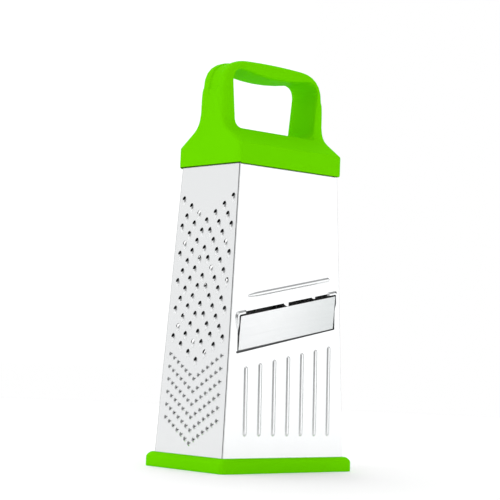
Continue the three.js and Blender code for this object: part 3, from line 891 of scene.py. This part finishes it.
def steel_material(name, finish):
    """Rolled steel: faint clouding of the polish and a fine grain along the rolling direction."""
    material, tree, shader = new_material(name)
    grain = finish["grain"]
    streaks = noise(tree, grain["density"], GRAIN_DETAIL, grain["turn"])
    clouds = noise(tree, POLISH_DENSITY, CLOUD_DETAIL)
    colour = colour_mix(tree, streaks, finish["dark"], finish["light"])
    shader.inputs["Metallic"].default_value = 1.0
    tree.links.new(colour, shader.inputs["Base Color"])
    tree.links.new(ramp(tree, clouds, *finish["rough"]), shader.inputs["Roughness"])
    bump(tree, shader, streaks, grain["strength"], GRAIN_HEIGHT)
    return material


def shade_along(material, low, high, shade):
    """Painted shade: darker towards one end of a piece, from a share of its length to another."""
    tree = material.node_tree
    parts = tree.nodes.new("ShaderNodeSeparateXYZ")
    tree.links.new(tree.nodes.new("ShaderNodeTexCoord").outputs["Generated"], parts.inputs["Vector"])
    share = smooth_range(tree, parts.outputs["X"], low, high)
    base = tree.nodes["Principled BSDF"].inputs["Base Color"]
    mix = tree.nodes.new("ShaderNodeMix")
    mix.data_type = "RGBA"
    mix.blend_type = "MULTIPLY"
    mix.inputs["B"].default_value = (*shade, 1)
    tree.links.new(share, mix.inputs["Factor"])
    tree.links.new(base.links[0].from_socket, mix.inputs["A"])
    tree.links.new(mix.outputs["Result"], base)


def lime_material(name, finish):
    """Moulded plastic: even colour with faint flow clouds and a fine satin grain."""
    material, tree, shader = new_material(name)
    clouds = noise(tree, FLOW_DENSITY, CLOUD_DETAIL)
    grain = noise(tree, SATIN_DENSITY, SATIN_DETAIL)
    colour = colour_mix(tree, clouds, finish["dark"], finish["light"])
    tree.links.new(colour, shader.inputs["Base Color"])
    tree.links.new(ramp(tree, clouds, *LIME_ROUGH), shader.inputs["Roughness"])
    shader.inputs["IOR"].default_value = LIME_IOR
    bump(tree, shader, grain, SATIN_STRENGTH, SATIN_HEIGHT)
    return material


# Stage: white floor, light tent, soft lights and camera; places and sizes are in metres

FLOOR_RADIUS = 1.2
FLOOR_SEGMENTS = 96
FLOOR_ROUGH = 0.85
FLOOR_NEAR = (0.95, 0.95, 0.95)
FLOOR_FAR = (1.0, 1.0, 1.0)
# Distances from the middle between which painted light makes the floor lighter
FLOOR_PAINTED_LIGHT = (0.12, 0.5)
# Painted light: glow of the floor's outer part, which hides its edge against the white background
FLOOR_GLOW = 0.12
WHITE = (1, 1, 1, 1)

# Light tent with a brighter card in it; azimuths and widths are in degrees, 0 the front and 90 the right
TENT_STRENGTH = 1.105
BRIGHT_CARD = {"azimuth": 42, "half": 26, "soft": 16}
BRIGHT_CARD_GAIN = 0.42
# Dark flags round the tent: where they start and end in the upward part of a direction, and the light
# that they take away
NO_LOWER_END = -2
FLAGS = (
    {"azimuth": -57, "half": 40, "soft": 12, "low": NO_LOWER_END, "high": 0.5, "dark": 0.78},
    {"azimuth": 100, "half": 28, "soft": 10, "low": NO_LOWER_END, "high": 0.6, "dark": 1.05},
    {"azimuth": 60, "half": 45, "soft": 20, "low": 0.38, "high": 0.88, "dark": 0.88},
    {"azimuth": 138, "half": 34, "soft": 16, "low": NO_LOWER_END, "high": -0.12, "dark": 0.94})
FLAG_SOFT = 0.14

# Area lights, which all look at one point; their power is in watts
LIGHT_TARGET = (0, 0, 0.12)
LIGHTS = (
    {"name": "overhead", "place": (0.5, 0.4, 1.3), "size": (1.0, 1.0), "power": 6.5},
    {"name": "key", "place": (0.5, -1.2, 0.8), "size": (0.7, 0.7), "power": 1},
    {"name": "left_fill", "place": (-1.2, 0.1, 0.3), "size": (0.7, 0.5), "power": 2.9})

# Camera, solved from the photograph's perspective: turns in degrees, sensor in millimetres
CAMERA_PLACE = (-0.66917, -0.73953, 0.06903)
CAMERA_YAW = -41.873
CAMERA_PITCH = 3.897
CAMERA_ROLL = 2.277
CAMERA_FOCAL_PIXELS = 1581.3
IMAGE_PIXELS = 500
SENSOR = 36


def make_floor():
    material, tree, shader = new_material("sweep_painted_light")
    distance = tree.nodes.new("ShaderNodeVectorMath")
    distance.operation = "LENGTH"
    tree.links.new(tree.nodes.new("ShaderNodeTexCoord").outputs["Object"], distance.inputs[0])
    # Painted light: the floor grows lighter and glows towards its edge
    outer = smooth_range(tree, distance.outputs["Value"], *FLOOR_PAINTED_LIGHT)
    glow = calculate(tree, "MULTIPLY", outer, FLOOR_GLOW)
    tree.links.new(colour_mix(tree, outer, FLOOR_NEAR, FLOOR_FAR), shader.inputs["Base Color"])
    shader.inputs["Roughness"].default_value = FLOOR_ROUGH
    shader.inputs["Emission Color"].default_value = WHITE
    tree.links.new(glow, shader.inputs["Emission Strength"])
    bm = bmesh.new()
    bmesh.ops.create_circle(bm, cap_ends=True, segments=FLOOR_SEGMENTS, radius=FLOOR_RADIUS)
    floor = new_object("floor", bm, material)


def around(tree, azimuth, span):
    """1 within a span of azimuth, falling to 0 over its soft edge."""
    off = calculate(tree, "SUBTRACT", azimuth, math.radians(span["azimuth"]))
    away = calculate(tree, "ABSOLUTE", off)
    edge = math.radians(span["half"])
    outside = smooth_range(tree, away, edge, math.radians(span["half"] + span["soft"]))
    return calculate(tree, "SUBTRACT", 1.0, outside)


def make_world():
    """White light tent with dark flags beside it; the camera itself sees plain white."""
    world = bpy.data.worlds.new("studio")
    bpy.context.scene.world = world
    world.use_nodes = True
    tree = world.node_tree
    parts = tree.nodes.new("ShaderNodeSeparateXYZ")
    tree.links.new(tree.nodes.new("ShaderNodeTexCoord").outputs["Generated"], parts.inputs["Vector"])
    upward = parts.outputs["Z"]
    frontward = calculate(tree, "MULTIPLY", parts.outputs["Y"], -1.0)
    azimuth = calculate(tree, "ARCTAN2", parts.outputs["X"], frontward)
    card = calculate(tree, "MULTIPLY", around(tree, azimuth, BRIGHT_CARD), BRIGHT_CARD_GAIN)
    light = calculate(tree, "ADD", card, TENT_STRENGTH)
    for flag in FLAGS:
        above = smooth_range(tree, upward, flag["low"], flag["low"] + FLAG_SOFT)
        below = smooth_range(tree, upward, flag["high"] + FLAG_SOFT, flag["high"])
        band = calculate(tree, "MULTIPLY", above, below)
        cover = calculate(tree, "MULTIPLY", around(tree, azimuth, flag), band)
        light = calculate(tree, "SUBTRACT", light, calculate(tree, "MULTIPLY", cover, flag["dark"]))
    seen = tree.nodes.new("ShaderNodeLightPath").outputs["Is Camera Ray"]
    background = tree.nodes["Background"]
    background.inputs["Color"].default_value = WHITE
    tree.links.new(calculate(tree, "MAXIMUM", light, seen), background.inputs["Strength"])


def add_area(name, place, size, power):
    light = bpy.data.lights.new(name, "AREA")
    light.shape = "RECTANGLE"
    light.size, light.size_y = size
    light.energy = power
    obj = bpy.data.objects.new(name, light)
    bpy.context.scene.collection.objects.link(obj)
    obj.location = place
    obj.rotation_euler = (Vector(LIGHT_TARGET) - Vector(place)).to_track_quat("-Z", "Y").to_euler()
    # The steel mirrors the light tent alone
    obj.visible_glossy = False


def make_camera():
    yaw, pitch, roll = (math.radians(a) for a in (CAMERA_YAW, CAMERA_PITCH, CAMERA_ROLL))
    level = math.cos(pitch)
    forward = Vector((-math.sin(yaw) * level, math.cos(yaw) * level, math.sin(pitch)))
    right = Vector((math.cos(yaw), math.sin(yaw), 0))
    up = right.cross(forward)
    rolled_right = right * math.cos(roll) + up * math.sin(roll)
    rolled_up = up * math.cos(roll) - right * math.sin(roll)
    data = bpy.data.cameras.new("camera")
    data.sensor_width = SENSOR
    data.lens = CAMERA_FOCAL_PIXELS / IMAGE_PIXELS * SENSOR
    camera = bpy.data.objects.new("camera", data)
    turn = Matrix((rolled_right, rolled_up, -forward)).transposed().to_4x4()
    camera.matrix_world = Matrix.Translation(CAMERA_PLACE) @ turn
    bpy.context.scene.collection.objects.link(camera)
    bpy.context.scene.camera = camera


sheet_steel = steel_material("sheet_steel", SHEET_FINISH)
# Steel in painted shade: the grater's inside, and the inner walls of pricked craters
shaded_inside_steel = steel_material("shaded_inside_steel", INSIDE_PAINTED_SHADE)
crater_shade_steel = steel_material("crater_shade_steel", CRATER_PAINTED_SHADE)
blade_steel = steel_material("blade_steel", BLADE_FINISH)
# Painted shade along the blade
shade_along(blade_steel, *BLADE_SHADED, BLADE_SHADE)
lime = lime_material("lime_plastic", LIME_FINISH)
# Plastic in painted shade for the cap's underside
rim = lime_material("rim_painted_shade_plastic", RIM_PAINTED_SHADE)

make_front(sheet_steel, shaded_inside_steel)
make_blade(blade_steel, shaded_inside_steel)
make_back(sheet_steel, shaded_inside_steel)
make_narrow("left_sheet", "left_panel", LEFT_TURN, MEDIUM, MEDIUM_TOOTH, PRICK,
            sheet_steel, shaded_inside_steel, crater_shade_steel)
make_narrow("right_sheet", "right_panel", RIGHT_TURN, LARGE, LARGE_TOOTH, None,
            sheet_steel, shaded_inside_steel)
make_moulded("handle", "handle_cap", HANDLE_ROUNDS, paint_underside_shade, lime, rim)
make_moulded("foot_ring", "base_ring", RING_ROUNDS, round_ring, lime)

make_floor()
make_world()
for light in LIGHTS:
    add_area(**light)
bpy.context.scene.view_settings.view_transform = "Standard"
make_camera()
